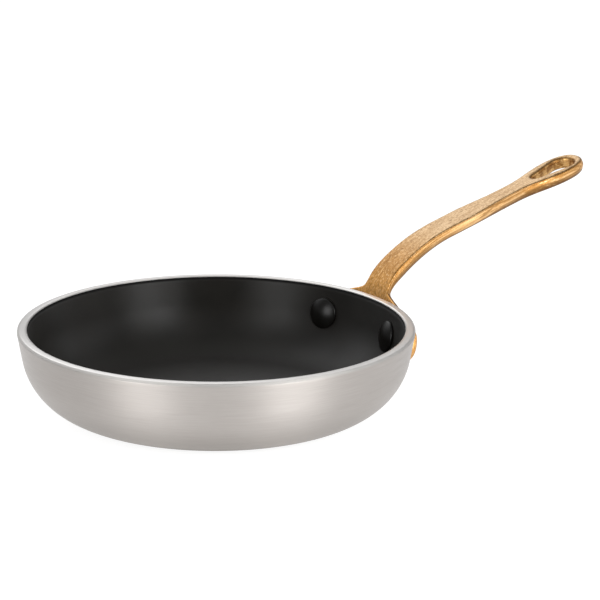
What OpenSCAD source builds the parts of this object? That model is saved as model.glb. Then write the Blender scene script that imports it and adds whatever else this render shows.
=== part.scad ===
// Omelette pan: a thick pressed aluminium body with a black non-stick lining, and
// one cast bronze handle held by two rivets with coated heads.
// The origin is the centre of the resting face. +Z is up, and the handle runs
// out along +X. Millimetres.

/* [Pan body] */
// Outside diameter at the rim, before its edge is rounded
rim_d = 200; // [180:1:280]
// Height from the resting face to the rim
pan_h = 43; // [40:0.5:60]
// Thickness of the pressed metal
wall_t = 5; // [3:0.25:6]
// Outside radius of the bend between the base and the wall
bend_r = 34; // [24:1:38]
// Lean of the wall out from the vertical, in degrees
wall_lean = 10; // [5:1:18]
// Rounding on the outer edge of the rim
rim_round = 1.5; // [0.5:0.1:2.4]

/* [Non-stick lining] */
// Thickness of the lining, on the pan and on the rivet heads
coat_t = 0.2; // [0.1:0.05:0.4]

/* [Rivets] */
// Distance between the two rivets, where their axes leave the wall
rivet_pitch = 57; // [44:1:70]
// Depth of the rivets below the rim
rivet_drop = 15.5; // [12:0.5:18]
// Diameter of the rivets' shanks
shank_d = 8; // [5:0.5:9]
// Clearance all round a shank in its holes
shank_gap = 0.05; // [0.02:0.01:0.1]
// Diameter of the heads inside the pan
head_d = 16; // [13:0.5:18]
// Height of the heads above the lining
head_h = 3.5; // [2:0.25:4]
// Height of the upright edge round each head
head_edge = 1.2; // [0.5:0.1:1.6]
// Diameter of the formed ends on the handle plate
tail_d = 12; // [10.5:0.5:14]
// Height of the formed ends on the handle plate
tail_h = 2.5; // [1.5:0.25:3]

/* [Handle plate] */
// Thickness of the plate that is riveted to the wall
plate_t = 5.5; // [4:0.25:7]
// Radius of the plate's deep middle
belly_r = 16; // [13:0.5:17]
// Depth of the middle's centre below the rim
belly_drop = 12; // [10:0.5:14]
// Radius of each wing's round end
wing_r = 8.5; // [7:0.5:10]
// Depth of the round ends' centres below the rim
wing_drop = 15.5; // [14:0.5:18]
// How far each wing reaches past its rivet
wing_reach = 19.5; // [15:0.5:24]

/* [Handle grip] */
// Depth below the rim at which the handle starts to leave the wall
leave_drop = 3.7; // [3:0.1:5]
// Gap between the wall and the neck where it starts to leave
neck_gap = 0.3; // [0.1:0.1:0.6]
// Radius of the tight bend over the rim, on the upper face
neck_bend_r = 30; // [22:1:40]
// Angle that the tight bend turns through
neck_angle = 44; // [35:1:52]
// Radius of the long bend that follows
long_bend_r = 102; // [80:1:140]
// Slope of the straight end above the horizontal, in degrees
grip_slope = 15; // [8:0.5:22]
// Length of the straight end, from the long bend to the tip
straight_l = 98; // [80:1:150]
// Distance from the long bend to where the grip starts to narrow
narrow_at = 12; // [4:1:25]
// Distance from the long bend to the waist
waist_at = 45; // [32:1:55]
// Length of the waist
waist_l = 5; // [2:1:10]
// Width of the neck
neck_w = 16.6; // [14:0.2:20]
// Width of the middle of the grip
grip_w = 15.3; // [12:0.1:18]
// Thickness of the middle of the grip
grip_t = 6.2; // [5:0.1:8]
// Width of the slim waist before the loop
waist_w = 10.8; // [9:0.1:14]
// Width of the loop
loop_w = 20.4; // [17:0.2:26]
// Thickness of the waist and the loop
loop_t = 7.2; // [5:0.1:9]
// How far a ridge stands out along the middle of each side
side_ridge = 0.9; // [0.3:0.1:1.5]
// How far the underside is narrower than the upper face, at each edge
under_inset = 0.5; // [0:0.1:1]
// How far the plate's outer face is smaller than its inner face, at each edge
plate_inset = 2.2; // [1:0.1:3]
// Softness of the corner where the neck spreads into the plate
neck_soft = 3; // [1:0.1:5]

/* [Hanging eye] */
// From the tip back to the centre of the loop
loop_back = 16; // [13:0.5:20]
// Radius of the eye's wide end
eye_r = 6.8; // [5:0.1:7.2]
// Radius of the eye's narrow end
eye_small_r = 2.6; // [2.2:0.1:4]
// Metal between the eye and the tip
eye_tip = 4.7; // [4:0.1:7]
// Length of the eye
eye_l = 28; // [20:0.5:32]

/* [Hidden] */
$fn = 180;
pan_r = rim_d / 2;
lean_sin = sin(wall_lean);
lean_cos = cos(wall_lean);
// Radius of the flat base, so that the bend runs smoothly into the wall
base_r = pan_r + ((bend_r - pan_h) * lean_sin - bend_r) / lean_cos;
// How far a hollow runs on above the rim, and how far a cutter passes what it cuts
above = 20;
over = 4;

// How far the rim's rounding stands out from the wall, so that the two surely cross
round_proud = 0.002;

// Distance of the wall's outer face from the pan's axis, at height z on the straight wall
function wall_x(z) = pan_r - (pan_h - z) * tan(wall_lean);

// Rivets
rivet_z = pan_h - rivet_drop;
rivet_angle = asin(rivet_pitch / 2 / wall_x(rivet_z));
inner_face = wall_t + coat_t;
head_crown = head_h - head_edge;
head_sphere_r = (head_d * head_d / 4 + head_crown * head_crown) / (2 * head_crown);
tail_sphere_r = (tail_d * tail_d / 4 + tail_h * tail_h) / (2 * tail_h);
// How far a rivet's head or end runs on into the curved face that it is cut to
seat_cover = 2;

// Plate outline, seen along the handle: [across, height]
belly = [0, pan_h - belly_drop];
wing = [rivet_pitch / 2 + wing_reach - wing_r, pan_h - wing_drop];
edge_angle = atan2(wing[1] - belly[1], wing[0]) + tangent_angle(belly, belly_r, wing, wing_r);
plate_top = pan_h - leave_drop;

// Handle path
wall_slope = 90 - wall_lean;
neck_slope = wall_slope - neck_angle;
path_start = [wall_x(plate_top) + neck_gap, plate_top];
neck_end = bend_end(path_start, neck_bend_r, wall_slope, neck_slope);
long_end = bend_end(neck_end, long_bend_r, neck_slope, grip_slope);
neck_l = arc_length(neck_bend_r, neck_angle);
long_l = arc_length(long_bend_r, neck_slope - grip_slope);
path_l = neck_l + long_l + straight_l;

// Stations along the upper face
// How far the grip runs on down inside the plate
root_l = 5;
straight_at = neck_l + long_l;
narrow_from = straight_at + narrow_at;
waist_from = straight_at + waist_at;
waist_to = waist_from + waist_l;
loop_at = path_l - loop_back;
// How full the tip's round is: 2 is an ellipse, more is squarer
loop_power = 2.3;
eye_at = path_l - eye_tip - eye_r;
eye_small_at = path_l - eye_tip - eye_l + eye_small_r;

// Counts of rings, of strips across a face and of steps in an arc
rings_on_grip = 52;
rings_on_loop = 12;
across = 6;
arc_steps = 16;
// How far round the tip's quarter turn the last ring is, in degrees
last_ring_angle = 86;

// Length of an arc of radius r through angle a
function arc_length(r, a) = PI * r * a / 180;

// Where an arc of radius r ends that starts at p and turns down from slope a to slope b
function bend_end(p, r, a, b) = p + r * [sin(a) - sin(b), cos(b) - cos(a)];

// Smooth step from 0 to 1 as x goes from a to b
function ease(x, a, b) = let(t = max(0, min(1, (x - a) / (b - a)))) (1 - cos(180 * t)) / 2;

// The larger of a and b, with a soft corner of size k where they cross
function soft_max(a, b, k) = (a + b + sqrt((a - b) * (a - b) + k * k)) / 2;

// Angle between the line of centres of circles c1, r1 and c2, r2 and the radii to a shared tangent
function tangent_angle(c1, r1, c2, r2) = acos((r1 - r2) / norm(c2 - c1));

// Point of the upper face and its slope, at distance s along it: [[x, z], slope]
function path_at(s) =
    s < 0 ? [path_start + s * [cos(wall_slope), sin(wall_slope)], wall_slope] :
    s < neck_l ?
        let(b = wall_slope - neck_angle * s / neck_l)
        [bend_end(path_start, neck_bend_r, wall_slope, b), b] :
    s < straight_at ?
        let(b = neck_slope - (neck_slope - grip_slope) * (s - neck_l) / long_l)
        [bend_end(neck_end, long_bend_r, neck_slope, b), b] :
    [long_end + (s - straight_at) * [cos(grip_slope), sin(grip_slope)], grip_slope];

// Half the width of the plate's outline at height z, on its upper edge
function edge_half(z) = (belly_r - (z - belly[1]) * sin(edge_angle)) / cos(edge_angle);

// Half the width of the grip alone at distance s
function grip_half(s) =
    s > loop_at ? loop_w / 2 * pow(1 - pow((s - loop_at) / loop_back, loop_power), 1 / loop_power) :
    s > waist_to ? waist_w / 2 + (loop_w - waist_w) / 2 * ease(s, waist_to, loop_at) :
    s > narrow_from ? grip_w / 2 + (waist_w - grip_w) / 2 * ease(s, narrow_from, waist_from) :
    neck_w / 2 + (grip_w - neck_w) / 2 * ease(s, neck_l, straight_at);

// Half the width of the upper face, with the neck spreading into the plate
function top_half(s) =
    s < 0 ? top_half(0) :
    soft_max(grip_half(s), edge_half(path_at(s)[0][1]), neck_soft * (1 - ease(s, 0, 2 * neck_l)));

// Thickness at distance s. The root is thinner by the gap on both faces, to lie inside the plate.
function thick(s) = grip_t + (plate_t - 2 * neck_gap - grip_t) * wrap(s)
                    + (loop_t - grip_t) * ease(s, narrow_from, waist_from);

// Outward normal of the upper face's outline at s, as [along, across]
function edge_normal(s) =
    let(e = 0.01, slope = (top_half(s + e) - top_half(s)) / e)
    [-slope, 1] / norm([slope, 1]);

// How much the section still follows the round wall, from 1 on the wall to 0
function wrap(s) = 1 - ease(s, 0, neck_l);

// Point at s along, y across and n above the upper face
function grip_point(s, y, n) =
    let(p = path_at(s), lift = n + wrap(s) * (pan_r - sqrt(pan_r * pan_r - y * y)))
    [p[0][0] - lift * sin(p[1]), y, p[0][1] + lift * cos(p[1])];

// One ring of the grip round station s: upper face, right ridge, underside, left ridge
function grip_ring(s) =
    let(n = edge_normal(s), half = top_half(s), t = thick(s),
        inset = under_inset + (plate_inset - under_inset) * wrap(s),
        ridge_s = s + side_ridge * n[0], ridge_y = half + side_ridge * n[1],
        low_s = s - inset * n[0], low_y = half - inset * n[1])
    concat(
        [for (k = [0:across]) grip_point(s, half * (2 * k / across - 1), 0)],
        [grip_point(ridge_s, ridge_y, -t / 2)],
        [for (k = [across:-1:0]) grip_point(low_s, low_y * (2 * k / across - 1), -t)],
        [grip_point(ridge_s, -ridge_y, -t / 2)]);

ring_stations = concat(
    [-root_l],
    [for (i = [0:rings_on_grip]) loop_at * i / rings_on_grip],
    [for (i = [1:rings_on_loop]) loop_at + loop_back * sin(last_ring_angle * i / rings_on_loop)]);

// Triangles that close a ring which starts at point o: a ladder from the upper face to the
// underside, and one triangle to each ridge
function cap_faces(o) = concat(
    [for (k = [0:across - 1], half = [0, 1])
        let(a = o + k, c = o + 2 * across + 2 - k)
        half == 0 ? [a, a + 1, c] : [a + 1, c - 1, c]],
    [[o + across, o + across + 1, o + across + 2], [o + 2 * across + 2, o + 2 * across + 3, o]]);

// Faces of a closed skin over rings of m points each
function skin_faces(rings, m) = concat(
    [for (f = cap_faces(0)) [f[2], f[1], f[0]]],
    [for (i = [0:rings - 2], j = [0:m - 1], half = [0, 1])
        let(a = i * m + j, b = i * m + (j + 1) % m, c = a + m, d = b + m)
        half == 0 ? [a, b, c] : [b, d, c]],
    cap_faces((rings - 1) * m));

// Half section of everything inside the pan's outer face moved inwards by inset.
// It runs on above the rim where open is true.
module bowl_section(inset, open) {
    r = bend_r - inset;
    top = open ? pan_h + above : pan_h;
    bend_top = [base_r + r * lean_cos, bend_r - r * lean_sin];
    wall_top = [bend_top[0] + (top - bend_top[1]) * tan(wall_lean), top];
    polygon([[0, inset], [base_r, inset], [base_r, bend_r], bend_top, wall_top, [0, top]]);
    intersection() {
        translate([base_r, bend_r]) circle(r);
        translate([base_r, inset]) square([r + 1, r]);
    }
}

module bowl(inset, open = true) {
    rotate_extrude() bowl_section(inset, open);
}

// Points of an arc round c from angle a to angle b
function arc(c, r, a, b) =
    [for (i = [0:arc_steps])
        let(t = a + (b - a) * i / arc_steps)
        c + r * [cos(t), sin(t)]];

// Outline of the circles c1, r1 and c2, r2 and what lies between their outer tangents
module link(c1, r1, c2, r2) {
    lean = tangent_angle(c1, r1, c2, r2);
    way = atan2(c2[1] - c1[1], c2[0] - c1[0]);
    polygon(concat(arc(c1, r1, way + lean, way + 360 - lean), arc(c2, r2, way - lean, way + lean)));
}

// The plate's winged outline: a deep middle and a round end on each side
module wings() {
    lean = tangent_angle(belly, belly_r, wing, wing_r);
    way = atan2(wing[1] - belly[1], wing[0]);
    far_wing = [-wing[0], wing[1]];
    polygon(concat(
        arc(wing, wing_r, way - lean, way + lean),
        arc(belly, belly_r, way + lean, 180 - way - lean),
        arc(far_wing, wing_r, 180 - way - lean, 180 - way + lean),
        arc(belly, belly_r, 180 - way + lean, 360 + way - lean)));
}

// Places children on a rivet's axis: +Z leaves the pan, and Z 0 is the wall's outer face
module on_rivet(side) {
    rotate([0, 0, side * rivet_angle])
        translate([wall_x(rivet_z), 0, rivet_z])
            rotate([0, 90 + wall_lean, 0])
                children();
}

module rivet_holes() {
    for (side = [-1, 1])
        on_rivet(side)
            translate([0, 0, -inner_face - over])
                cylinder(r = shank_d / 2 + shank_gap, h = inner_face + plate_t + 2 * over);
}

// Half section of a domed head with its seat on Y 0, run on below it by seat_cover
module dome_section(d, crown, edge, sphere_r) {
    intersection() {
        translate([0, -seat_cover]) square([d / 2, seat_cover + edge + crown]);
        translate([0, edge + crown - sphere_r]) circle(sphere_r);
    }
}

// Half section of the head inside the pan, grown by skin all over
module head_section(skin) {
    dome_section(head_d + 2 * skin, head_crown, head_edge + skin, head_sphere_r + skin);
}

// Places children on the lining at a rivet, facing into the pan, and cuts them to the lining's face
module on_lining(side) {
    intersection() {
        on_rivet(side) translate([0, 0, -inner_face]) mirror([0, 0, 1]) children();
        bowl(inner_face);
    }
}

module pan_body() {
    color("#B3ACA6") difference() {
        rotate_extrude() {
            difference() {
                bowl_section(0, false);
                bowl_section(wall_t, true);
                rim_corner();
            }
        }
        rivet_holes();
    }
}

// What the rim's outer rounding takes away, in the half section
module rim_corner() {
    centre = [wall_x(pan_h - rim_round) - (rim_round - round_proud) / lean_cos, pan_h - rim_round];
    foot = centre + rim_round * [lean_cos, -lean_sin];
    difference() {
        polygon([centre, [centre[0], pan_h + over], [pan_r + over, pan_h + over],
                 [pan_r + over, foot[1]], foot]);
        translate(centre) circle(rim_round);
    }
}

module nonstick_lining() {
    color("#262521") difference() {
        rotate_extrude() {
            intersection() {
                difference() {
                    bowl_section(wall_t, true);
                    bowl_section(inner_face, true);
                }
                square([pan_r, pan_h]);
            }
        }
        rivet_holes();
    }
}

// The plate: the shell just outside the wall, inside the winged outline
module plate() {
    intersection() {
        difference() {
            bowl(-plate_t);
            bowl(0);
        }
        rotate([90, 0, 90])
            linear_extrude(height = pan_r + plate_t + over)
                intersection() {
                    wings();
                    translate([-pan_r, 0]) square([2 * pan_r, plate_top]);
                }
    }
}

module grip() {
    rings = [for (s = ring_stations) grip_ring(s)];
    polyhedron(points = [for (ring = rings) each ring],
               faces = skin_faces(len(rings), len(rings[0])));
}

module hanging_eye() {
    translate([long_end[0], 0, long_end[1]])
        rotate([0, -grip_slope, 0])
            translate([-straight_at, 0, -2 * loop_t])
                linear_extrude(height = 3 * loop_t)
                    link([eye_small_at, 0], eye_small_r, [eye_at, 0], eye_r);
}

module handle() {
    color("#C8924E") difference() {
        union() {
            plate();
            grip();
        }
        hanging_eye();
        rivet_holes();
    }
}

// One rivet: head inside the lining, shank, and formed end on the plate
module rivet(side) {
    color("#2B2A28") {
        on_lining(side) rotate_extrude() head_section(0);
        difference() {
            on_rivet(side)
                translate([0, 0, plate_t])
                    rotate_extrude() dome_section(tail_d, tail_h, 0, tail_sphere_r);
            bowl(-plate_t);
        }
        on_rivet(side)
            translate([0, 0, -inner_face - head_edge])
                cylinder(d = shank_d, h = inner_face + head_edge + plate_t + tail_h / 2);
    }
}

module rivet_coat(side) {
    color("#1E1D1B") on_lining(side)
        rotate_extrude()
            difference() {
                head_section(coat_t);
                head_section(0);
            }
}

pan_body();
nonstick_lining();
handle();
rivet(1);  // rivet_left
rivet(-1);  // rivet_right
rivet_coat(1);  // rivet_coat_left
rivet_coat(-1);  // rivet_coat_right
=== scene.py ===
import itertools
import math

import bpy
import numpy as np
from mathutils import Matrix, Vector


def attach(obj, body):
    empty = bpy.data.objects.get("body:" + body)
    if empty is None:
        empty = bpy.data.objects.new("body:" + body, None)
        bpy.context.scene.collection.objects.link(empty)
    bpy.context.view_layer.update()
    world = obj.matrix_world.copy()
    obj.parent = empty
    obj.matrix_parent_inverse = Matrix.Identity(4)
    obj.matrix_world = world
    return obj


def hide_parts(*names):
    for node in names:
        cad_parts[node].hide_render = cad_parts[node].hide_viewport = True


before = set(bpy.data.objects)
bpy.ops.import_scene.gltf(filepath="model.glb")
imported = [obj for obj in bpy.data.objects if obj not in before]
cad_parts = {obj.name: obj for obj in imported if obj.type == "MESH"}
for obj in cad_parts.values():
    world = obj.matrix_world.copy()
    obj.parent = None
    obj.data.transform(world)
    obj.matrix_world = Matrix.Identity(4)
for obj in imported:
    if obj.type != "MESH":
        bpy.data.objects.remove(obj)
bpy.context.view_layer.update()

# Shapes are in millimetres and degrees. Meshes, materials and the studio are in metres
MM = 0.001

# Pan
RIM_R = 100.0
PAN_H = 43.0
WALL_T = 5.0
BEND_R = 34.0
WALL_LEAN = 10.0
RIM_ROUND = 1.5
RIM_CHAMFER = 0.45
COAT_T = 0.2
COAT_GAP = 0.02

# Rivets
RIVET_PITCH = 57.0
RIVET_DROP = 15.5
SHANK_R = 4.0
SHANK_GAP = 0.05
HEAD_R = 8.0
HEAD_H = 3.5
HEAD_EDGE = 1.2
HEAD_ROUND = 0.9
TAIL_R = 6.0
TAIL_H = 2.5
TAIL_EDGE = 0.3
TAIL_ROUND = 0.5

# How far the tool that cuts a rivet's hole reaches to both sides of the wall's outer face
HOLE_REACH = 20.0

# Handle plate. Its section changes to the neck's within PLATE_EASE of its top
PLATE_T = 5.5
PLATE_GAP = 0.05
PLATE_EASE = 6.0
BELLY_R = 16.0
BELLY_DROP = 12.0
WING_R = 8.5
WING_DROP = 15.5
WING_REACH = 19.5

# Where the neck spreads into the plate: how much smaller the outer face is at each edge, how far
# the edges slant, and the softness of the corner
FLARE_INSET = 2.6
FLARE_SLANT = 0.6
FLARE_SOFT = 5.0

# Handle grip. It leaves the wall at LEAVE_DROP below the rim, goes through a tight bend and a long
# one, and ends in a straight part, from whose start NARROW_AT and WAIST_AT are measured
LEAVE_DROP = 3.7
NECK_GAP = 0.3
NECK_BEND_R = 30.0
NECK_ANGLE = 44.0
LONG_BEND_R = 102.0
GRIP_SLOPE = 15.0
STRAIGHT_L = 98.0
NARROW_AT = 12.0
WAIST_AT = 45.0
WAIST_L = 5.0
NECK_W = 16.6
GRIP_W = 15.3
GRIP_T = 6.2
WAIST_W = 10.8
LOOP_W = 20.4
LOOP_T = 7.0
LOOP_BACK = 16.0
SIDE_RIDGE = 0.9
UNDER_INSET = 0.5

# The power of the loop's outline: an ellipse at 2, and squarer above it
LOOP_POWER = 2.3

# Hanging eye
EYE_R = 6.6
EYE_SMALL_R = 2.6
EYE_TIP = 4.7
EYE_L = 28.0

# Softness of the handle's edges
SOFT_UPPER = 0.5
SOFT_UNDER = 1.3
SOFT_RIDGE = 0.7
SOFT_EYE = 2.6
SOFT_LOOP = 1.4
SOFT_PLATE_INNER = 0.4
SOFT_PLATE_OUTER = 3.4

# How finely turned pieces are made: steps round the axis, steps on each arc, and the spacing of
# the rings between the arcs
PAN_STEPS = 256
RIVET_STEPS = 64
OUTER_BEND_STEPS = 36
INNER_BEND_STEPS = 28
RIM_STEPS = 10
CORNER_STEPS = 6
CROWN_STEPS = 14
FLAT_SPACING = 8
OUTER_WALL_SPACING = 1.5
INNER_WALL_SPACING = 2.5
RIM_SPACING = 1

# The grid on which the handle's surface is found: its step, and how far it reaches below the
# straight wall, to each side, past the tip, and above and below the handle
GRID_STEP = 0.5
GRID_BELOW = 18.0
GRID_HALF_W = 50.0
GRID_PAST_TIP = 1.0
GRID_MARGIN = 1.5

# Rounds in which a rivet's ring finds its seat on the wall
SEAT_ROUNDS = 4

# How points settle onto the handle's surface: the rounds, the step over which its slope is
# measured, the longest move, and the least square of the slope
SETTLE_ROUNDS = 4
SETTLE_STEP = 0.02
SETTLE_MOVE = 0.3
SETTLE_SLOPE = 0.05

# The step over which the outline's flare is measured
FLARE_STEP = 0.05

# These keep the loop's distance finite near its middle, and the plate's turn far outside it
LOOP_SIZE_MIN = 0.2
LOOP_STEEP_MIN = 0.02
TURN_SINE_MAX = 0.9


def sin(degrees):
    return math.sin(math.radians(degrees))


def cos(degrees):
    return math.cos(math.radians(degrees))


def tan(degrees):
    return math.tan(math.radians(degrees))


def arc(centre, radius, start, end, steps):
    """Points of an arc, from angle start to angle end."""
    angles = [start + (end - start) * i / steps for i in range(steps + 1)]
    return [(centre[0] + radius * cos(a), centre[1] + radius * sin(a)) for a in angles]


def even(start, end, spacing):
    """Points from start up to, but without, end, about spacing apart."""
    count = max(1, round(math.dist(start, end) / spacing))
    return [(start[0] + (end[0] - start[0]) * i / count, start[1] + (end[1] - start[1]) * i / count)
            for i in range(count)]


# Shape of the pan's wall
LEAN_SIN = sin(WALL_LEAN)
LEAN_COS = cos(WALL_LEAN)
BASE_R = RIM_R + ((BEND_R - PAN_H) * LEAN_SIN - BEND_R) / LEAN_COS
BEND_TOP_Z = BEND_R - BEND_R * LEAN_SIN
INNER_FACE = WALL_T + COAT_T


def wall_x(z):
    """Distance of the straight wall's outer face from the pan's axis at height z."""
    return RIM_R - (PAN_H - z) * tan(WALL_LEAN)


def wall_distance(radius, z):
    """How far a point outside the flat base lies outside the pan's outer face."""
    along, up = radius - BASE_R, z - BEND_R
    on_bend = up * LEAN_COS < -along * LEAN_SIN
    return np.where(on_bend, np.hypot(along, up) - BEND_R,
                    along * LEAN_COS - up * LEAN_SIN - BEND_R)


def inner_profile(inset, top_z):
    """The face that lies inset inside the pan's outer face, from height top_z down to the axis."""
    radius = BEND_R - inset
    bend_top = (BASE_R + radius * LEAN_COS, BEND_R - radius * LEAN_SIN)
    top = (bend_top[0] + (top_z - bend_top[1]) * tan(WALL_LEAN), top_z)
    bend = arc((BASE_R, BEND_R), radius, -WALL_LEAN, -90, INNER_BEND_STEPS)
    flat = even((BASE_R, inset), (0, inset), FLAT_SPACING)[1:]
    return even(top, bend_top, INNER_WALL_SPACING) + bend + flat + [(0, inset)]


# Meshes and objects
def new_mesh(name, points, faces):
    """A mesh from points in millimetres."""
    mesh = bpy.data.meshes.new(name)
    mesh.from_pydata([[c * MM for c in point] for point in points], [], faces)
    return mesh


def new_object(name, data):
    """An object in the scene."""
    new = bpy.data.objects.new(name, data)
    bpy.context.scene.collection.objects.link(new)
    return new


def new_piece(name, points, faces, slot, material):
    """A smooth piece of the part, from points in millimetres."""
    mesh = new_mesh(name, points, faces)
    mesh.validate()
    mesh.shade_smooth()
    mesh.materials.append(material)
    piece = new_object(name, mesh)
    return piece


def turned(rings, low, high, steps):
    """Points and faces of rings round the Z axis, closed by a point on it at heights low and high.

    Each ring is a radius and its height, or a radius and a function of the angle for its height.
    """
    points = [(0, 0, low), (0, 0, high)]
    for radius, height in rings:
        for j in range(steps):
            angle = 360 * j / steps
            z = height(angle) if callable(height) else height
            points.append((radius * cos(angle), radius * sin(angle), z))
    faces = []
    last = 2 + (len(rings) - 1) * steps
    for j in range(steps):
        k = (j + 1) % steps
        faces += [(0, 2 + k, 2 + j), (1, last + j, last + k)]
        for i in range(len(rings) - 1):
            a, b = 2 + i * steps, 2 + (i + 1) * steps
            faces.append((a + j, a + k, b + k, b + j))
    return points, faces


def lathe(profile):
    """The same for a closed profile of the pan, which starts and ends on the axis."""
    return turned(profile[1:-1], profile[0][1], profile[-1][1], PAN_STEPS)


# Rivets
RIVET_Z = PAN_H - RIVET_DROP
RIVET_ANGLE = math.degrees(math.asin(RIVET_PITCH / 2 / wall_x(RIVET_Z)))


def rivet_frame(side):
    """+Z leaves the pan along the rivet, and Z 0 is the wall's outer face. In metres."""
    return (Matrix.Rotation(math.radians(side * RIVET_ANGLE), 4, "Z")
            @ Matrix.Translation(Vector((wall_x(RIVET_Z), 0, RIVET_Z)) * MM)
            @ Matrix.Rotation(math.radians(90 + WALL_LEAN), 4, "Y"))


def seated(radius, offset):
    """A ring of a rivet that lies on the face offset outside the wall."""

    def height(angle):
        across, up = radius * sin(angle), -radius * cos(angle)
        rise = offset
        for _ in range(SEAT_ROUNDS):
            out = wall_x(RIVET_Z) + rise * LEAN_COS + up * LEAN_SIN
            z = RIVET_Z - rise * LEAN_SIN + up * LEAN_COS
            rise -= float(wall_distance(math.hypot(out, across), z)) - offset
        return rise

    return radius, height


def dome(radius, edge, height, corner, grow, base, sign):
    """Rings of a rivet's domed end, from its edge to near its middle, and the height of its top.

    The end stands on base, up or down by sign. Its side is edge high, and corner is the rounding
    above it. The rings lie grow outside this surface.
    """
    crown = height - edge
    sphere_r = (radius ** 2 + crown ** 2) / (2 * crown)
    sphere_z = edge + crown - sphere_r
    span = math.degrees(math.asin((radius - corner) / (sphere_r - corner)))
    corner_z = sphere_z + (sphere_r - corner) * cos(span)
    rim = arc((radius - corner, corner_z), corner + grow, 0, 90 - span, CORNER_STEPS)
    crown_arc = arc((0, sphere_z), sphere_r + grow, 90 - span, 90, CROWN_STEPS)[1:-1]
    rings = [(out, base + sign * rise) for out, rise in rim + crown_arc]
    return rings, base + sign * (edge + crown + grow)


def rivet_head(grow):
    """The dome of a head, grow outside its surface."""
    return dome(HEAD_R, HEAD_EDGE, HEAD_H, HEAD_ROUND, grow, -INNER_FACE, -1)


def holed(piece):
    """Cuts the rivets' holes through a piece."""
    hole_r = SHANK_R + SHANK_GAP
    rings = [(hole_r, -HOLE_REACH), (hole_r, HOLE_REACH)]
    points, faces = turned(rings, -HOLE_REACH, HOLE_REACH, RIVET_STEPS)
    for side in (-1, 1):
        cutter = new_object("cutter", new_mesh("cutter", points, faces))
        cutter.matrix_world = rivet_frame(side)
        cut = piece.modifiers.new("hole", "BOOLEAN")
        cut.object = cutter
        cut.solver = "EXACT"
        bpy.context.view_layer.update()
        solid = piece.evaluated_get(bpy.context.evaluated_depsgraph_get())
        mesh = bpy.data.meshes.new_from_object(solid)
        piece.modifiers.clear()
        piece.data = mesh
        bpy.data.objects.remove(cutter)


# Handle, as a soft solid in its own coordinates: s along the upper face, y across, n above it
LONG_AT = NECK_BEND_R * math.radians(NECK_ANGLE)
WALL_SLOPE = 90 - WALL_LEAN
NECK_SLOPE = WALL_SLOPE - NECK_ANGLE
STRAIGHT_AT = LONG_AT + LONG_BEND_R * math.radians(NECK_SLOPE - GRIP_SLOPE)
PATH_L = STRAIGHT_AT + STRAIGHT_L
LOOP_AT = PATH_L - LOOP_BACK
PLATE_TOP = PAN_H - LEAVE_DROP
WALL_STRAIGHT = (PLATE_TOP - BEND_TOP_Z) / LEAN_COS
WALL_GAP = NECK_GAP * LEAN_COS
BELLY_Z = PAN_H - BELLY_DROP
WING_Y = RIVET_PITCH / 2 + WING_REACH - WING_R
WING_UP = PAN_H - WING_DROP - BELLY_Z
WING_WAY = math.hypot(WING_Y, WING_UP)
EDGE_ANGLE = math.degrees(math.atan2(WING_UP, WING_Y) + math.acos((BELLY_R - WING_R) / WING_WAY))


def ease(x, a, b):
    """Smooth step from 0 to 1 as x goes from a to b."""
    t = np.clip((x - a) / (b - a), 0, 1)
    return (1 - np.cos(np.pi * t)) / 2


def between(first, second, share):
    """The value that share of the way lies from first to second."""
    return first + (second - first) * share


def soft_larger(a, b, size):
    """The larger of a and b, with a soft corner where they cross."""
    return np.maximum(a, b) + np.maximum(size - np.abs(a - b), 0) ** 2 / (4 * size)


def link_distance(x, y, first_r, second_r, length):
    """Distance from the outline round a circle at 0 and a circle at length along x."""
    lean = (first_r - second_r) / length
    side = math.sqrt(1 - lean * lean)
    y = np.abs(y)
    along = side * x - lean * y
    return np.where(along < 0, np.hypot(x, y) - first_r,
                    np.where(along > side * length, np.hypot(x - length, y) - second_r,
                             side * y + lean * x - first_r))


def bend_points(start, radius, slope, turned_to):
    """Points on a bend that starts at start with slope and has turned down to turned_to."""
    a, b = np.radians(slope), np.radians(turned_to)
    return start[0] + radius * (math.sin(a) - np.sin(b)), start[1] + radius * (np.cos(b) - math.cos(a))


def path(s):
    """Points of the handle's upper face down its middle, and its slope in radians, at distances s."""
    face_r = BEND_R + WALL_GAP
    up = s + WALL_STRAIGHT
    turn = math.radians(-WALL_LEAN) + np.minimum(up, 0) / BEND_R
    plate_x = BASE_R + face_r * np.cos(turn) + np.maximum(up, 0) * LEAN_SIN
    plate_z = BEND_R + face_r * np.sin(turn) + np.maximum(up, 0) * LEAN_COS
    start = (BASE_R + face_r * LEAN_COS + WALL_STRAIGHT * LEAN_SIN,
             BEND_R - face_r * LEAN_SIN + WALL_STRAIGHT * LEAN_COS)
    neck_slope = WALL_SLOPE - NECK_ANGLE * s / LONG_AT
    neck = bend_points(start, NECK_BEND_R, WALL_SLOPE, neck_slope)
    neck_end = bend_points(start, NECK_BEND_R, WALL_SLOPE, NECK_SLOPE)
    long_slope = NECK_SLOPE - np.degrees((s - LONG_AT) / LONG_BEND_R)
    long = bend_points(neck_end, LONG_BEND_R, NECK_SLOPE, long_slope)
    long_end = bend_points(neck_end, LONG_BEND_R, NECK_SLOPE, GRIP_SLOPE)
    rest = s - STRAIGHT_AT
    straight = long_end[0] + rest * cos(GRIP_SLOPE), long_end[1] + rest * sin(GRIP_SLOPE)
    where = [s < 0, s < LONG_AT, s < STRAIGHT_AT]
    x = np.select(where, [plate_x, neck[0], long[0]], straight[0])
    z = np.select(where, [plate_z, neck[1], long[1]], straight[1])
    slope = np.select(where, [np.pi / 2 + turn, np.radians(neck_slope), np.radians(long_slope)],
                      math.radians(GRIP_SLOPE))
    return x, z, slope


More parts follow.
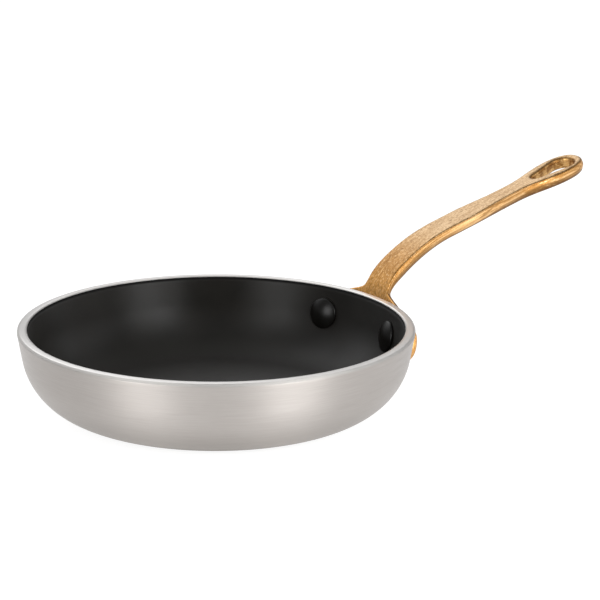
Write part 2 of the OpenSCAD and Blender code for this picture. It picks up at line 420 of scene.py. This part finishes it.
def grip_half(s):
    """Half the width of the grip, up to the loop's widest point."""
    narrow, waist = STRAIGHT_AT + NARROW_AT, STRAIGHT_AT + WAIST_AT
    width = between(NECK_W, GRIP_W, ease(s, LONG_AT, STRAIGHT_AT))
    width += (WAIST_W - GRIP_W) * ease(s, narrow, waist)
    width += (LOOP_W - WAIST_W) * ease(s, waist + WAIST_L, LOOP_AT)
    return width / 2


def top_half(s):
    """Half the width of the upper face, where the neck spreads into the plate."""
    z = path(s)[1]
    edge = (BELLY_R - (z - BELLY_Z) * sin(EDGE_ANGLE)) / cos(EDGE_ANGLE)
    soft = FLARE_SOFT * (1 - ease(s, 0, 2 * LONG_AT))
    half = grip_half(s)
    return (half + edge + np.sqrt((half - edge) ** 2 + soft ** 2)) / 2


def outline_distance(s, y):
    """Distance outside the handle's outline, in the plane of its upper face."""
    y = np.abs(y)
    up = path(s)[1] - BELLY_Z
    dy, dz = WING_Y / WING_WAY, WING_UP / WING_WAY
    plate = link_distance(y * dy + up * dz, up * dy - y * dz, BELLY_R, WING_R, WING_WAY)
    half = top_half(s)
    flare = (top_half(s + FLARE_STEP) - half) / FLARE_STEP
    grip = (y - half) / np.sqrt(1 + flare ** 2)
    along, across = np.maximum(s - LOOP_AT, 0) / LOOP_BACK, y / (LOOP_W / 2)
    size = (along ** LOOP_POWER + across ** LOOP_POWER) ** (1 / LOOP_POWER)
    steep = np.hypot(along ** (LOOP_POWER - 1) / LOOP_BACK, across ** (LOOP_POWER - 1) / (LOOP_W / 2))
    steep = steep / np.maximum(size, LOOP_SIZE_MIN) ** (LOOP_POWER - 1)
    loop = (size - 1) / np.maximum(steep, LOOP_STEEP_MIN)
    return np.select([s < 0, s < LOOP_AT], [plate, grip], loop)


def handle_field(s, y, n):
    """Below 0 inside the handle."""
    wall = 1 - ease(s, 0, LONG_AT)
    plate = 1 - ease(s, -PLATE_EASE, 0)
    flare = wall * (1 - plate)
    waist = ease(s, STRAIGHT_AT + NARROW_AT, STRAIGHT_AT + WAIST_AT)
    loop = ease(s, STRAIGHT_AT + WAIST_AT, LOOP_AT)

    # The section: u is the height above its middle, and half is half its thickness
    top = (WALL_GAP - PLATE_GAP) * plate
    thick = (GRIP_T + (PLATE_T - 2 * WALL_GAP - GRIP_T) * wall + (LOOP_T - GRIP_T) * waist
             + WALL_GAP * plate)
    half = (top + thick) / 2
    u = n - (top - thick) / 2

    # Each side is two slopes that meet in a ridge
    ridge = SIDE_RIDGE * (1 - wall) - FLARE_SLANT * flare
    lean = ridge + between(UNDER_INSET, FLARE_INSET, flare)
    out = outline_distance(s, y)
    upper = (out * half + (u - half) * ridge) / np.sqrt(half ** 2 + ridge ** 2)
    lower = ((out - ridge) * half - u * lean) / np.sqrt(half ** 2 + lean ** 2)
    side = soft_larger(upper, lower, SOFT_RIDGE)

    soft_top = SOFT_UPPER + (SOFT_PLATE_INNER - SOFT_UPPER) * plate + (SOFT_LOOP - SOFT_UPPER) * loop
    soft_low = between(SOFT_UNDER, SOFT_PLATE_OUTER, wall)
    solid = soft_larger(soft_larger(side, u - half, soft_top), -u - half, soft_low)

    eye_at = PATH_L - EYE_TIP - EYE_R
    small_at = PATH_L - EYE_TIP - EYE_L + EYE_SMALL_R
    eye = link_distance(s - small_at, y, EYE_SMALL_R, EYE_R, eye_at - small_at)
    solid = soft_larger(solid, -eye, SOFT_EYE)

    rivet_s = (RIVET_Z - PLATE_TOP) / LEAN_COS
    rivet_y = (np.abs(y) - RIVET_PITCH / 2) / cos(RIVET_ANGLE)
    return np.maximum(solid, SHANK_R + SHANK_GAP - np.hypot(s - rivet_s, rivet_y))


def handle_place(s, y, n):
    """Where the handle's own coordinates lie in the part's frame."""
    x, z, slope = path(s)
    x = x - n * np.sin(slope)
    z = z + n * np.cos(slope)
    wall = 1 - ease(s, 0, LONG_AT)
    turn = np.arcsin(np.clip(y / wall_x(PLATE_TOP), -TURN_SINE_MAX, TURN_SINE_MAX))
    return x + wall * x * (np.cos(turn) - 1), y + wall * (x * np.sin(turn) - y), z


def skin(field, low, high, step):
    """Points and quads of the surface where field is 0, one point in each cell that it crosses."""
    axes = [np.arange(a, b + step, step) for a, b in zip(low, high)]
    value = field(*np.meshgrid(*axes, indexing="ij"))
    inside = value < 0
    cells = [n - 1 for n in value.shape]

    # Each cell's point is the mean of the places where the surface crosses the cell's edges
    total = np.zeros(cells + [3])
    count = np.zeros(cells)
    for axis in range(3):
        others = [a for a in range(3) if a != axis]
        for shift in itertools.product((0, 1), repeat=2):
            first = [slice(0, c) for c in cells]
            for other, amount in zip(others, shift):
                first[other] = slice(amount, cells[other] + amount)
            second = list(first)
            second[axis] = slice(1, cells[axis] + 1)
            a, b = value[tuple(first)], value[tuple(second)]
            cross = (a < 0) != (b < 0)
            total[..., axis] += np.where(cross, a / np.where(cross, a - b, 1), 0)
            for other, amount in zip(others, shift):
                total[..., other] += cross * amount
            count += cross
    index = np.full(cells, -1)
    used = count > 0
    index[used] = np.arange(used.sum())
    points = np.argwhere(used) + total[used] / count[used][:, None]
    points = points * step + np.array(low)

    # Each crossed edge gives a quad of the four cells round it, which faces out of the solid
    quads = []
    for axis in range(3):
        others = [a for a in range(3) if a != axis]
        core = [slice(1, c) for c in cells]
        core[axis] = slice(0, cells[axis])
        ahead = list(core)
        ahead[axis] = slice(1, cells[axis] + 1)
        a, b = inside[tuple(core)], inside[tuple(ahead)]
        for flip in (False, True):
            at = np.argwhere((a & ~b) if flip else (b & ~a))
            for other in others:
                at[:, other] += 1
            corners = []
            for p, q in ((0, 0), (1, 0), (1, 1), (0, 1)):
                place = at.copy()
                place[:, others[0]] -= p
                place[:, others[1]] -= q
                corners.append(index[tuple(place.T)])
            order = corners if flip != (axis == 1) else corners[::-1]
            quads.append(np.stack(order, 1))
    return points, np.concatenate(quads)


def settle(field, points):
    """Moves points onto the surface where field is 0."""
    for _ in range(SETTLE_ROUNDS):
        value = field(*points.T)
        slope = np.stack([(field(*(points + d).T) - field(*(points - d).T)) / (2 * SETTLE_STEP)
                          for d in np.eye(3) * SETTLE_STEP], 1)
        move = slope * (value / np.maximum((slope ** 2).sum(1), SETTLE_SLOPE))[:, None]
        points = points - np.clip(move, -SETTLE_MOVE, SETTLE_MOVE)
    return points


# Material helpers
class Shader:
    """Adds nodes to a material or a world, and feeds its shader."""

    def __init__(self, owner, shader="Principled BSDF"):
        owner.use_nodes = True
        self.tree = owner.node_tree
        self.shader = self.tree.nodes[shader]

    def set(self, **sockets):
        """Feeds the shader's sockets, each with a value of its own or an output."""
        for socket, value in sockets.items():
            self.feed(self.shader.inputs[socket.replace("_", " ")], value)

    def feed(self, socket, value):
        if isinstance(value, bpy.types.NodeSocket):
            self.tree.links.new(value, socket)
        else:
            socket.default_value = value

    def node(self, kind, inputs=(), **settings):
        """A node with settings. inputs maps a socket's name or number to a value or an output."""
        new = self.tree.nodes.new(kind)
        for key, value in settings.items():
            setattr(new, key, value)
        for key, value in dict(inputs).items():
            self.feed(new.inputs[key], value)
        return new

    def place(self, kind="Object"):
        return self.node("ShaderNodeTexCoord").outputs[kind]

    def split(self, vector):
        """The three numbers of a vector."""
        return self.node("ShaderNodeSeparateXYZ", {0: vector}).outputs

    def math(self, operation, *values):
        return self.node("ShaderNodeMath", enumerate(values), operation=operation).outputs[0]

    def dot(self, vector, way):
        sockets = {0: vector, 1: way}
        return self.node("ShaderNodeVectorMath", sockets, operation="DOT_PRODUCT").outputs["Value"]

    def ramp(self, value, low, high, out_low=0.0, out_high=1.0):
        """Maps value from low..high to out_low..out_high, with a soft start and end."""
        numbers = {"Value": value, "From Min": low, "From Max": high,
                   "To Min": out_low, "To Max": out_high}
        return self.node("ShaderNodeMapRange", numbers, interpolation_type="SMOOTHSTEP").outputs[0]

    def noise(self, vector, scale, detail, roughness=0.5):
        sockets = {"Vector": vector, "Scale": scale, "Detail": detail, "Roughness": roughness}
        return self.node("ShaderNodeTexNoise", sockets).outputs[0]

    def mix(self, factor, first, second):
        """A colour between first and second. The node's colour sockets come after its other kinds."""
        new = self.node("ShaderNodeMix", {0: factor}, data_type="RGBA")
        first_colour, second_colour, mixed_colour = 6, 7, 2
        self.feed(new.inputs[first_colour], first)
        self.feed(new.inputs[second_colour], second)
        return new.outputs[mixed_colour]

    def bump(self, height, distance, strength, normal=None):
        sockets = {"Height": height, "Distance": distance, "Strength": strength}
        if normal is not None:
            sockets["Normal"] = normal
        return self.node("ShaderNodeBump", sockets).outputs[0]

    def round_tangent(self):
        """The way round the pan's axis, along which the brushing runs."""
        return self.node("ShaderNodeTangent", direction_type="RADIAL", axis="Z").outputs[0]


# Nearly all of a noise lies between these values
NOISE_SPAN = (0.3, 0.7)

# Colours are in linear light. Where there are two, a noise goes from one to the other
WALL_METAL = ((0.386, 0.359, 0.338, 1), (0.431, 0.405, 0.385, 1))
BEND_SHADE_METAL = (0.215, 0.196, 0.178, 1)
BASE_SHADE_METAL = (0.12, 0.11, 0.10, 1)
RIM_METAL = (0.575, 0.56, 0.54, 1)
RIVET_METAL = ((0.55, 0.54, 0.52, 1), (0.66, 0.65, 0.63, 1))
FILM = ((0.0065, 0.0058, 0.0047), (0.0090, 0.0081, 0.0066))
FLOOR_SHEEN_FILM = (0.0135, 0.0125, 0.0108, 1)
EDGE_FILM = (0.0005, 0.0005, 0.0005, 1)

# Heights between which the pan's surfaces change, from where a change starts to where it is full:
# the painted shade low on the bend and at the base, the brighter band under the rim, the rim's
# rougher rounding and its flat, and the film's floor, which has a painted sheen, and its top edge
BEND_SHADE_Z = (0.021, 0.004)
BASE_SHADE_Z = (0.0055, 0.0015)
BAND_Z = (0.0413, 0.0422)
CORNER_Z = (0.0414, 0.0420)
RIM_Z = (0.0427, 0.04297)
FLOOR_SHEEN_Z = (0.014, 0.007)
FILM_EDGE_Z = (0.0408, 0.0420)

# Nearer the axis than this, the brushing has no direction
AXIS_R = 0.001


def aluminium():
    """Brushed round the body, with painted shade low on the bend and at the base, brighter under and on
    the machined rim.
    """
    material = bpy.data.materials.new("brushed_aluminium")
    s = Shader(material)
    s.set(Metallic=1.0, Anisotropic=0.8, Anisotropic_Rotation=0.25)
    x, y, z = s.split(s.place())
    radius = s.math("SQRT", s.math("ADD", s.math("MULTIPLY", x, x), s.math("MULTIPLY", y, y)))
    turn = [s.math("DIVIDE", c, s.math("MAXIMUM", radius, AXIS_R)) for c in (x, y)]
    profile = s.math("ADD", z, radius)

    def brushed(turns, lines):
        """Noise in rings round the axis: turns sets how often it changes round it."""
        vector = s.node("ShaderNodeCombineXYZ", {
            0: s.math("MULTIPLY", turn[0], turns),
            1: s.math("MULTIPLY", turn[1], turns),
            2: s.math("MULTIPLY", profile, lines)})
        return s.noise(vector.outputs[0], scale=1.0, detail=4.0, roughness=0.6)

    fine, broad = brushed(turns=9.0, lines=6500.0), brushed(turns=5.0, lines=1700.0)
    fine_share = 0.35
    tone = s.math("ADD", s.math("MULTIPLY", fine, fine_share),
                  s.math("MULTIPLY", broad, 1 - fine_share))
    metal = s.mix(s.ramp(tone, *NOISE_SPAN), *WALL_METAL)
    # Painted shade: the metal is darker low on the bend and darker still at the base
    metal = s.mix(s.ramp(z, *BEND_SHADE_Z, out_high=0.45), metal, BEND_SHADE_METAL)
    metal = s.mix(s.ramp(z, *BASE_SHADE_Z, out_high=0.6), metal, BASE_SHADE_METAL)
    metal = s.mix(s.ramp(z, *BAND_Z), metal, RIM_METAL)
    smoother = s.math("MULTIPLY", s.ramp(z, *RIM_Z), 0.1)
    rougher = s.math("MULTIPLY", s.ramp(z, *CORNER_Z, out_high=0.35), s.ramp(z, *RIM_Z[::-1]))
    rough = s.math("SUBTRACT", s.ramp(fine, *NOISE_SPAN, 0.38, 0.50), smoother)
    s.set(Base_Color=metal,
          Roughness=s.math("ADD", rough, rougher),
          Normal=s.bump(fine, distance=0.00003, strength=0.5),
          Tangent=s.round_tangent())
    return material


def nonstick(name, brushing, shade, smooth, gloss):
    """Satin black film with a very fine tooth, greyer on the pan's floor, where a sheen is painted, and
    black at its top edge.

    brushing is how much it shows the brushing of the metal under it, and shade multiplies its
    colour.
    """
    material = bpy.data.materials.new(name)
    s = Shader(material)
    s.set(IOR=1.4, Specular_IOR_Level=gloss, Anisotropic=brushing, Anisotropic_Rotation=0.25)
    place = s.place()
    cloud = s.noise(place, scale=60.0, detail=3.0)
    tooth = s.noise(place, scale=2600.0, detail=2.0)
    height = s.split(place)[2]
    edge = s.ramp(height, *FILM_EDGE_Z)
    dark, light = ([part * shade for part in colour] + [1] for colour in FILM)
    film = s.mix(s.ramp(cloud, *NOISE_SPAN), dark, light)
    # Painted sheen: the film is greyer on the pan's floor
    film = s.mix(s.ramp(height, *FLOOR_SHEEN_Z), film, FLOOR_SHEEN_FILM)
    rough = s.ramp(cloud, *NOISE_SPAN, smooth, smooth + 0.06)
    s.set(Base_Color=s.mix(edge, film, EDGE_FILM),
          Roughness=s.math("ADD", rough, s.math("MULTIPLY", edge, 0.5)),
          Normal=s.bump(tooth, distance=0.00002, strength=0.4),
          Tangent=s.round_tangent())
    return material


def rivet_metal():
    """Satin aluminium with a fine grain."""
    material = bpy.data.materials.new("rivet_aluminium")
    s = Shader(material)
    s.set(Metallic=1.0)
    grain = s.noise(s.place(), scale=1800.0, detail=3.0)
    s.set(Base_Color=s.mix(s.ramp(grain, *NOISE_SPAN), *RIVET_METAL),
          Roughness=s.ramp(grain, *NOISE_SPAN, 0.28, 0.40),
          Normal=s.bump(grain, distance=0.00003, strength=0.5))
    return material


# Colours of the bronze
PLATE_BRONZE = ((0.55, 0.265, 0.065, 1), (0.76, 0.41, 0.13, 1))
NECK_BRONZE = ((0.305, 0.147, 0.038, 1), (0.435, 0.231, 0.076, 1))
# The grip's paler colour: partly wear, partly a painted sheen
GRIP_WEAR_AND_SHEEN = ((0.42, 0.265, 0.125, 1), (0.57, 0.40, 0.225, 1))
SIDE_BRONZE = ((0.52, 0.285, 0.105, 1), (0.76, 0.47, 0.21, 1))
EYE_BRONZE = ((0.28, 0.135, 0.038, 1), (0.58, 0.35, 0.135, 1))
# Painted shade on the sides, near the neck and from the waist on
SIDE_SHADE = (0.24, 0.11, 0.025, 1)
# Painted shade: the loop's side is made dimmer
LOOP_SIDE_SHADE = (0.48, 0.265, 0.095, 1)
LINE_DARK = (0.20, 0.09, 0.02, 1)
LINE_PALE = (0.92, 0.62, 0.33, 1)
# Painted shade along the underside
UNDER_SHADE = (0.13, 0.06, 0.02, 1)
# A painted dark reflection under the upper edge
EDGE_REFLECTION = (0.20, 0.09, 0.022, 1)
GRAIN_DARK = (0.24, 0.12, 0.035, 1)
GRAIN_PALE = (0.78, 0.58, 0.34, 1)
PIT_DARK = (0.16, 0.075, 0.02, 1)
MARK_DARK = (0.20, 0.10, 0.03, 1)

# Distances along the handle between which the bronze changes, from the plate's top at 0
PLATE_S = (0.003, -0.002)
NECK_S = (0.006, 0.021)
GRIP_WEAR_AND_SHEEN_S = (0.022, 0.056)
NECK_SIDE_SHADE_S = (0.07, 0.02)
WAIST_SIDE_SHADE_S = (0.095, 0.118)
LOOP_SIDE_SHADE_S = (0.130, 0.148)
EYE_START_S = (0.120, 0.124)
EYE_END_S = (0.1555, 0.1545)

# The same across the handle, from its middle, and above its upper face
EYE_Y = (0.0072, 0.0066)
TOP_N = (-0.0005, -0.0001)
TOP_GRAIN_N = (-0.0008, -0.0001)
EDGE_REFLECTION_N = (-0.0014, -0.0008)
UNDER_SHADE_N = (-0.0042, -0.0056)


def bronze():
    """Cast bronze, ground lengthwise: paler on the grip, partly from wear and partly from a painted
    sheen, deeper at the neck, with painted shade on the sides and a painted dark reflection under the
    upper edge.

    The mesh's attribute way holds each point's place along, across and above the handle.
    """
    material = bpy.data.materials.new("cast_bronze")
    s = Shader(material)
    s.set(Metallic=1.0)
    way = s.node("ShaderNodeAttribute", attribute_name="way").outputs["Vector"]
    along, across, above = s.split(way)

    def streaks(stretch, scale, detail):
        """Noise that is drawn out along the handle, the more so the smaller stretch is."""
        drawn = s.node("ShaderNodeVectorMath", {0: way, 1: (stretch, 1, 1)}, operation="MULTIPLY")
        return s.noise(drawn.outputs[0], scale, detail, roughness=0.6)

    def layered(tone, layers, mask=None):
        """tone under layers of a value, where each starts and is full, its share and its colour."""
        for value, span, share, colour in layers:
            amount = s.ramp(value, *span, out_high=share)
            if mask is not None:
                amount = s.math("MULTIPLY", mask, amount)
            tone = s.mix(amount, tone, colour)
        return tone

    fine = streaks(stretch=0.1, scale=1500.0, detail=3.0)
    broad = streaks(stretch=0.12, scale=380.0, detail=3.0)
    grain = streaks(stretch=0.6, scale=1100.0, detail=4.0)
    pits = streaks(stretch=0.5, scale=620.0, detail=2.0)
    lines = streaks(stretch=0.025, scale=850.0, detail=2.0)
    blotches = streaks(stretch=0.7, scale=330.0, detail=2.0)
    plate, neck, grip, side = (s.mix(s.ramp(broad, *NOISE_SPAN), *colours) for colours in (
        PLATE_BRONZE, NECK_BRONZE, GRIP_WEAR_AND_SHEEN, SIDE_BRONZE))

    # Painted shade on the sides: darker near the neck and from the waist on, and dimmer round the loop
    side = layered(side, (
        (along, NECK_SIDE_SHADE_S, 0.8, SIDE_SHADE),
        (along, WAIST_SIDE_SHADE_S, 0.8, SIDE_SHADE),
        (along, LOOP_SIDE_SHADE_S, 1.0, LOOP_SIDE_SHADE),
        (lines, (0.48, 0.60), 0.6, LINE_DARK),
        (lines, (0.46, 0.34), 0.5, LINE_PALE),
        # Painted shade along the underside
        (above, UNDER_SHADE_N, 0.85, UNDER_SHADE)))
    eye = s.mix(s.ramp(blotches, 0.46, 0.60), *EYE_BRONZE)
    in_eye = s.math("MULTIPLY", s.ramp(s.math("ABSOLUTE", across), *EYE_Y), s.ramp(along, *EYE_START_S))
    side = s.mix(s.math("MULTIPLY", in_eye, s.ramp(along, *EYE_END_S)), side, eye)
    # A painted dark reflection in a band just under the upper edge
    side = s.mix(s.ramp(above, *EDGE_REFLECTION_N, out_high=0.7), side, EDGE_REFLECTION)

    top = s.mix(s.ramp(along, *NECK_S), plate, neck)
    # The grip's paler upper face is partly wear and partly a painted sheen
    top = s.mix(s.ramp(along, *GRIP_WEAR_AND_SHEEN_S), top, grip)
    on_plate = s.ramp(along, *PLATE_S)
    tone = s.mix(on_plate, s.mix(s.ramp(above, *TOP_N), side, top), plate)
    face = s.math("MAXIMUM", s.ramp(above, *TOP_GRAIN_N, out_low=0.25), on_plate)
    tone = layered(tone, (
        (grain, (0.48, 0.62), 0.5, GRAIN_DARK),
        (grain, (0.48, 0.32), 0.5, GRAIN_PALE),
        (pits, (0.60, 0.68), 0.6, PIT_DARK)), face)
    tone = layered(tone, ((fine, (0.56, 0.75), 0.4, MARK_DARK),))
    s.set(Base_Color=tone,
          Roughness=s.ramp(fine, *NOISE_SPAN, 0.38, 0.5),
          Normal=s.bump(grain, distance=0.00008, strength=0.25,
                        normal=s.bump(fine, distance=0.00005, strength=0.4)))
    return material


# Pieces
def make_pan(material):
    bend = arc((BASE_R, BEND_R), BEND_R, -90, -WALL_LEAN, OUTER_BEND_STEPS)
    centre = (wall_x(PAN_H - RIM_ROUND) - RIM_ROUND / LEAN_COS, PAN_H - RIM_ROUND)
    rounding = arc(centre, RIM_ROUND, -WALL_LEAN, 90, RIM_STEPS)
    flat_end = (wall_x(PAN_H) - WALL_T / LEAN_COS + RIM_CHAMFER, PAN_H)
    profile = (even((0, 0), (BASE_R, 0), FLAT_SPACING) + bend[:-1]
               + even(bend[-1], rounding[0], OUTER_WALL_SPACING) + rounding[:-1]
               + even(rounding[-1], flat_end, RIM_SPACING) + [flat_end]
               + inner_profile(WALL_T, PAN_H - RIM_CHAMFER))
    piece = new_piece("aluminium_body", *lathe(profile), "aluminium", material)
    holed(piece)
    return piece


def make_lining(material):
    top = PAN_H - RIM_CHAMFER
    profile = inner_profile(WALL_T + COAT_GAP, top)[::-1] + inner_profile(INNER_FACE, top)
    piece = new_piece("nonstick_film", *lathe(profile), "nonstick", material)
    holed(piece)
    return piece


def make_handle(material):
    low = (-WALL_STRAIGHT - GRID_BELOW, -GRID_HALF_W, -LOOP_T - GRID_MARGIN)
    high = (PATH_L + GRID_PAST_TIP, GRID_HALF_W, GRID_MARGIN)
    points, quads = skin(handle_field, low, high, GRID_STEP)
    points = settle(handle_field, points)
    place = np.stack(handle_place(*points.T), 1)
    piece = new_piece("bronze_handle", place.tolist(), quads.tolist(), "bronze", material)
    way = piece.data.attributes.new("way", "FLOAT_VECTOR", "POINT")
    way.data.foreach_set("vector", (points * MM).astype(np.float32).ravel())
    return piece


def make_rivet(side, name, material):
    head, head_top = rivet_head(0)
    tail, tail_top = dome(TAIL_R, TAIL_EDGE, TAIL_H, TAIL_ROUND, 0, PLATE_T, 1)
    rings = head[::-1] + [seated(HEAD_R, -INNER_FACE), seated(SHANK_R, -INNER_FACE),
                          seated(SHANK_R, PLATE_T), seated(TAIL_R, PLATE_T)] + tail
    points, faces = turned(rings, head_top, tail_top, RIVET_STEPS)
    piece = new_piece(name, points, faces, "rivet", material)
    piece.data.transform(rivet_frame(side))
    return piece


def make_coat(side, name, material):
    inner, inner_top = rivet_head(COAT_GAP)
    outer, outer_top = rivet_head(COAT_T)
    rings = outer[::-1] + [seated(HEAD_R + COAT_T, -INNER_FACE),
                           seated(HEAD_R + COAT_GAP, -INNER_FACE)] + inner
    points, faces = turned(rings, outer_top, inner_top, RIVET_STEPS)
    piece = new_piece(name, points, faces, "nonstick", material)
    piece.data.transform(rivet_frame(side))
    return piece


# The part
metal, cast, satin = aluminium(), bronze(), rivet_metal()
black = nonstick("black_nonstick", brushing=0.75, shade=1.0, smooth=0.42, gloss=0.34)
coat = nonstick("black_rivet_coat", brushing=0.0, shade=0.5, smooth=0.29, gloss=0.3)
for piece, node in (
        (make_pan(metal), "pan_body"),
        (make_lining(black), "nonstick_lining"),
        (make_handle(cast), "handle"),
        (make_rivet(1, "left_rivet", satin), "rivet_left"),
        (make_rivet(-1, "right_rivet", satin), "rivet_right"),
        (make_coat(1, "left_rivet_coat", coat), "rivet_coat_left"),
        (make_coat(-1, "right_rivet_coat", coat), "rivet_coat_right")):
    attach(piece, "root")
    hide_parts(node)


# Camera, at the photograph's viewing angle, in millimetres and degrees
CAMERA_AT = (-771.5, -1101.8, 431.5)
CAMERA_YAW = 53.221
CAMERA_DOWN = 15.589
CAMERA_ROLL = 0.3634
CAMERA_LENS = 167.45
CAMERA_SENSOR = 36

# Two soft lights: the way round and up to each in degrees, its distance, width and height, and
# its power in watts
SOFTBOXES = (
    ("left_softbox", -166, 18, 1.5, 0.75, 0.9, 12.5),
    ("right_softbox", -82, 18, 1.5, 0.85, 0.9, 17.5))

# The room: its colour, and its light, which fades to that of its top between two heights. A height
# here is how far up a way points: 0 is level, and 1 straight up
ROOM_COLOUR = (0.98, 0.985, 1.0, 1)
ROOM_LIGHT = 0.38
ROOM_TOP = 0.16
ROOM_FADE = (0.35, 0.95)

# Soft panels in the room: three that add light, and a dark one, which takes it away. Each has the
# way towards it, the closeness to that way (a cosine) at which it starts and is full, its light,
# and the heights between which it fades in
PANELS = (
    ((0.08, 0.835, 0.545), (0.60, 0.95), 1.75, (0.20, 0.45)),
    ((-0.345, -0.493, 0.798), (0.78, 0.92), 0.55, (0.35, 0.60)),
    ((0.893, -0.416, 0.174), (0.76, 0.97), 1.5, (-0.05, 0.10)),
    ((-0.53, -0.76, 0.37), (0.85, 0.97), -0.34, (-0.10, 0.0)))

# The floor, just under the part. It glows, and more brightly in front of the part: FRONT is the way
# there, and the brighter glow starts and is full at two distances along it
FLOOR_HALF = 40
FLOOR_DROP = 0.0002
FLOOR_COLOUR = (0.25, 0.25, 0.25, 1)
WHITE = (1, 1, 1, 1)
FRONT = (-0.5736, -0.8191, 0.0)
GLOW_FROM = 0.07
GLOW_TO = 0.15
GLOW = 0.88
GLOW_IN_FRONT = 1.25

# A painted shadow: the floor's glow is dimmed under the part, by distance from its axis
SHADE_FROM = 0.055
SHADE_TO = 0.071
SHADE = 0.1


def add_camera():
    data = bpy.data.cameras.new("camera")
    data.sensor_width = CAMERA_SENSOR
    data.lens = CAMERA_LENS
    camera = new_object("camera", data)
    camera.matrix_world = (Matrix.Translation(Vector(CAMERA_AT) * MM)
                           @ Matrix.Rotation(math.radians(CAMERA_YAW - 90), 4, "Z")
                           @ Matrix.Rotation(math.radians(90 - CAMERA_DOWN), 4, "X")
                           @ Matrix.Rotation(math.radians(CAMERA_ROLL), 4, "Z"))
    bpy.context.scene.camera = camera


def add_floor():
    material = bpy.data.materials.new("pale_floor")
    s = Shader(material)
    s.set(Base_Color=FLOOR_COLOUR, Roughness=0.9, Specular_IOR_Level=0.1, Emission_Color=WHITE)
    place = s.place()
    glow = s.ramp(s.dot(place, FRONT), GLOW_FROM, GLOW_TO, GLOW, GLOW_IN_FRONT)
    away = s.node("ShaderNodeVectorMath", {0: place}, operation="LENGTH").outputs["Value"]
    # Painted shadow: the glow dims under the part
    s.set(Emission_Strength=s.math("MULTIPLY", glow, s.ramp(away, SHADE_FROM, SHADE_TO, SHADE)))
    mesh = bpy.data.meshes.new("floor")
    corners = [(x * FLOOR_HALF, y * FLOOR_HALF, 0) for x, y in ((-1, -1), (1, -1), (1, 1), (-1, 1))]
    mesh.from_pydata(corners, [], [(0, 1, 2, 3)])
    mesh.materials.append(material)
    floor = new_object("floor", mesh)
    floor.location.z = -FLOOR_DROP


def add_softbox(name, yaw, up, distance, width, height, watts):
    """A soft light that faces the part."""
    data = bpy.data.lights.new(name, "AREA")
    data.shape = "RECTANGLE"
    data.size = width
    data.size_y = height
    data.energy = watts
    light = new_object(name, data)
    way = Vector((cos(up) * cos(yaw), cos(up) * sin(yaw), sin(up)))
    light.matrix_world = (Matrix.Translation(way * distance)
                          @ way.to_track_quat("Z", "Y").to_matrix().to_4x4())
    light.visible_camera = False


def add_world():
    world = bpy.data.worlds.new("world")
    s = Shader(world, "Background")
    way = s.place("Generated")
    up = s.split(way)[2]
    strength = s.ramp(up, *ROOM_FADE, ROOM_LIGHT, ROOM_TOP)
    for towards, close, light, height in PANELS:
        facing = s.dot(way, Vector(towards).normalized())
        panel = s.math("MULTIPLY", s.ramp(facing, *close, out_high=light), s.ramp(up, *height))
        strength = s.math("ADD", strength, panel)
    s.set(Color=ROOM_COLOUR, Strength=strength)
    bpy.context.scene.world = world


add_camera()
add_floor()
for softbox in SOFTBOXES:
    add_softbox(*softbox)
add_world()
bpy.context.scene.view_settings.view_transform = "Standard"
